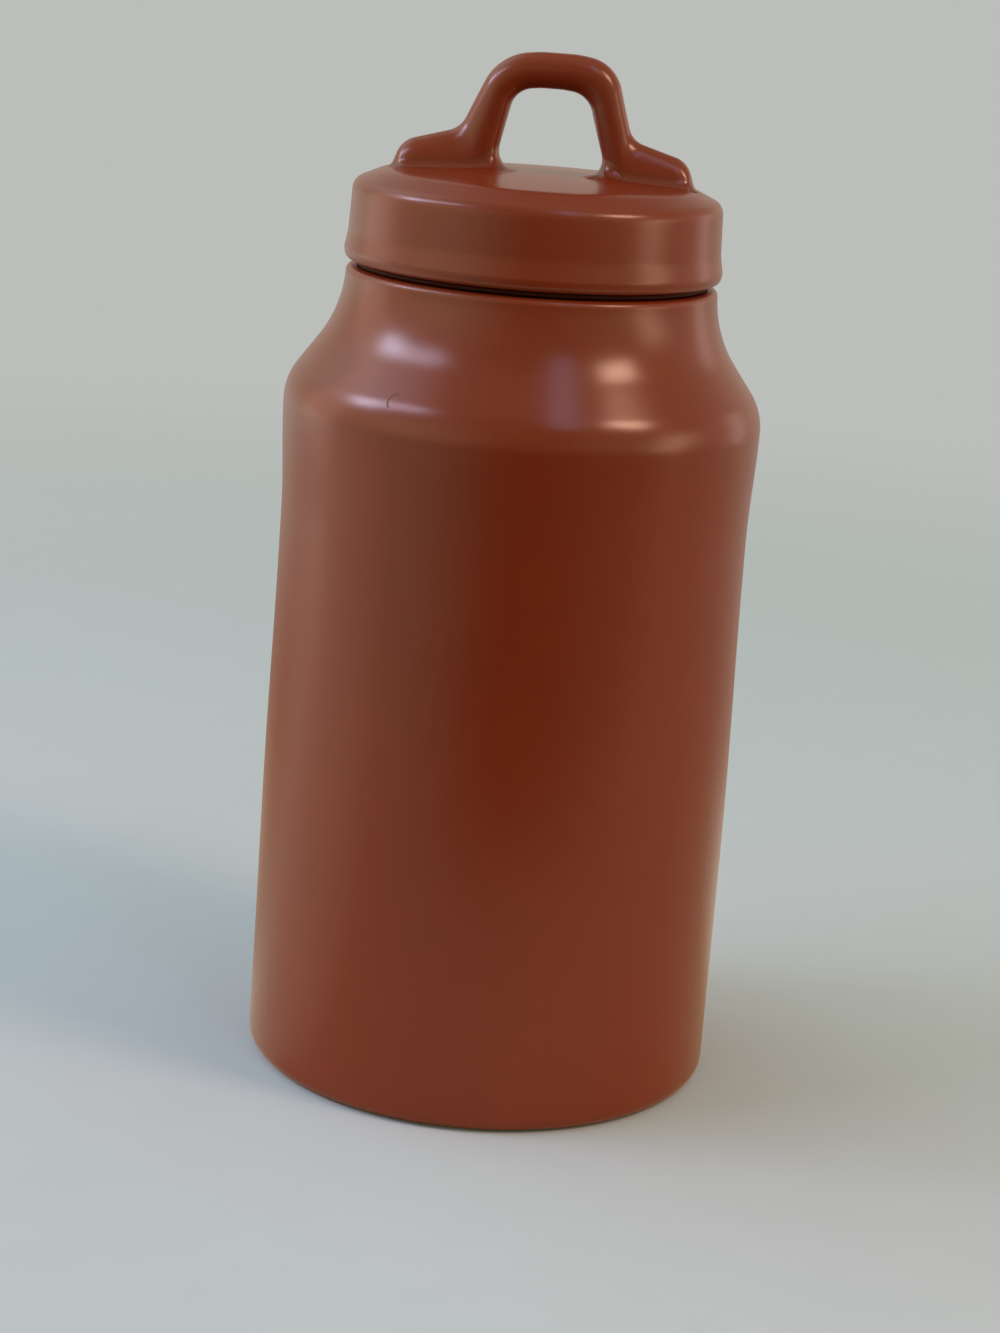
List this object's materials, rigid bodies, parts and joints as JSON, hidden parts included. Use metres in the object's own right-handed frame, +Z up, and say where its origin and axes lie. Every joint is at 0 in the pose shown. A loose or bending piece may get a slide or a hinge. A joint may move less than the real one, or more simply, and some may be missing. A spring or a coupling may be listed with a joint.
{
  "type": "ceramic canister",
  "caption": "Tall waisted stoneware canister with a flared neck, and a lid with a loop handle, a hollow plug and a silicone sealing ring.",
  "frame": {"origin": "centre of the foot ring's bearing face, on the jar's axis", "axes": "+Z up along the jar's axis, +X along the handle's arch at rest"},
  "size_m": [0.12, 0.12, 0.2586],
  "materials": {
    "canister_glaze": "satin terracotta glaze, bare clay on the foot ring",
    "lid_glaze": "satin terracotta glaze",
    "handle_glaze": "satin terracotta glaze",
    "gasket_silicone": "matte dark brown silicone"
  },
  "bodies": {
    "jar": {"canister_body": "canister_glaze"},
    "seal": {"lid_gasket": "gasket_silicone"},
    "lid": {"lid_cap": "lid_glaze", "lid_handle": "handle_glaze"}
  },
  "joints": [
    {"name": "lid_lift", "type": "slide", "parent": "jar", "child": "seal", "axis": [0, 0, 1], "range_m": [0, 0.1]},
    {"name": "lid_turn", "type": "hinge", "parent": "seal", "child": "lid", "pos_m": [0, 0, 0.2059], "axis": [0, 0, 1], "continuous": true}
  ]
}
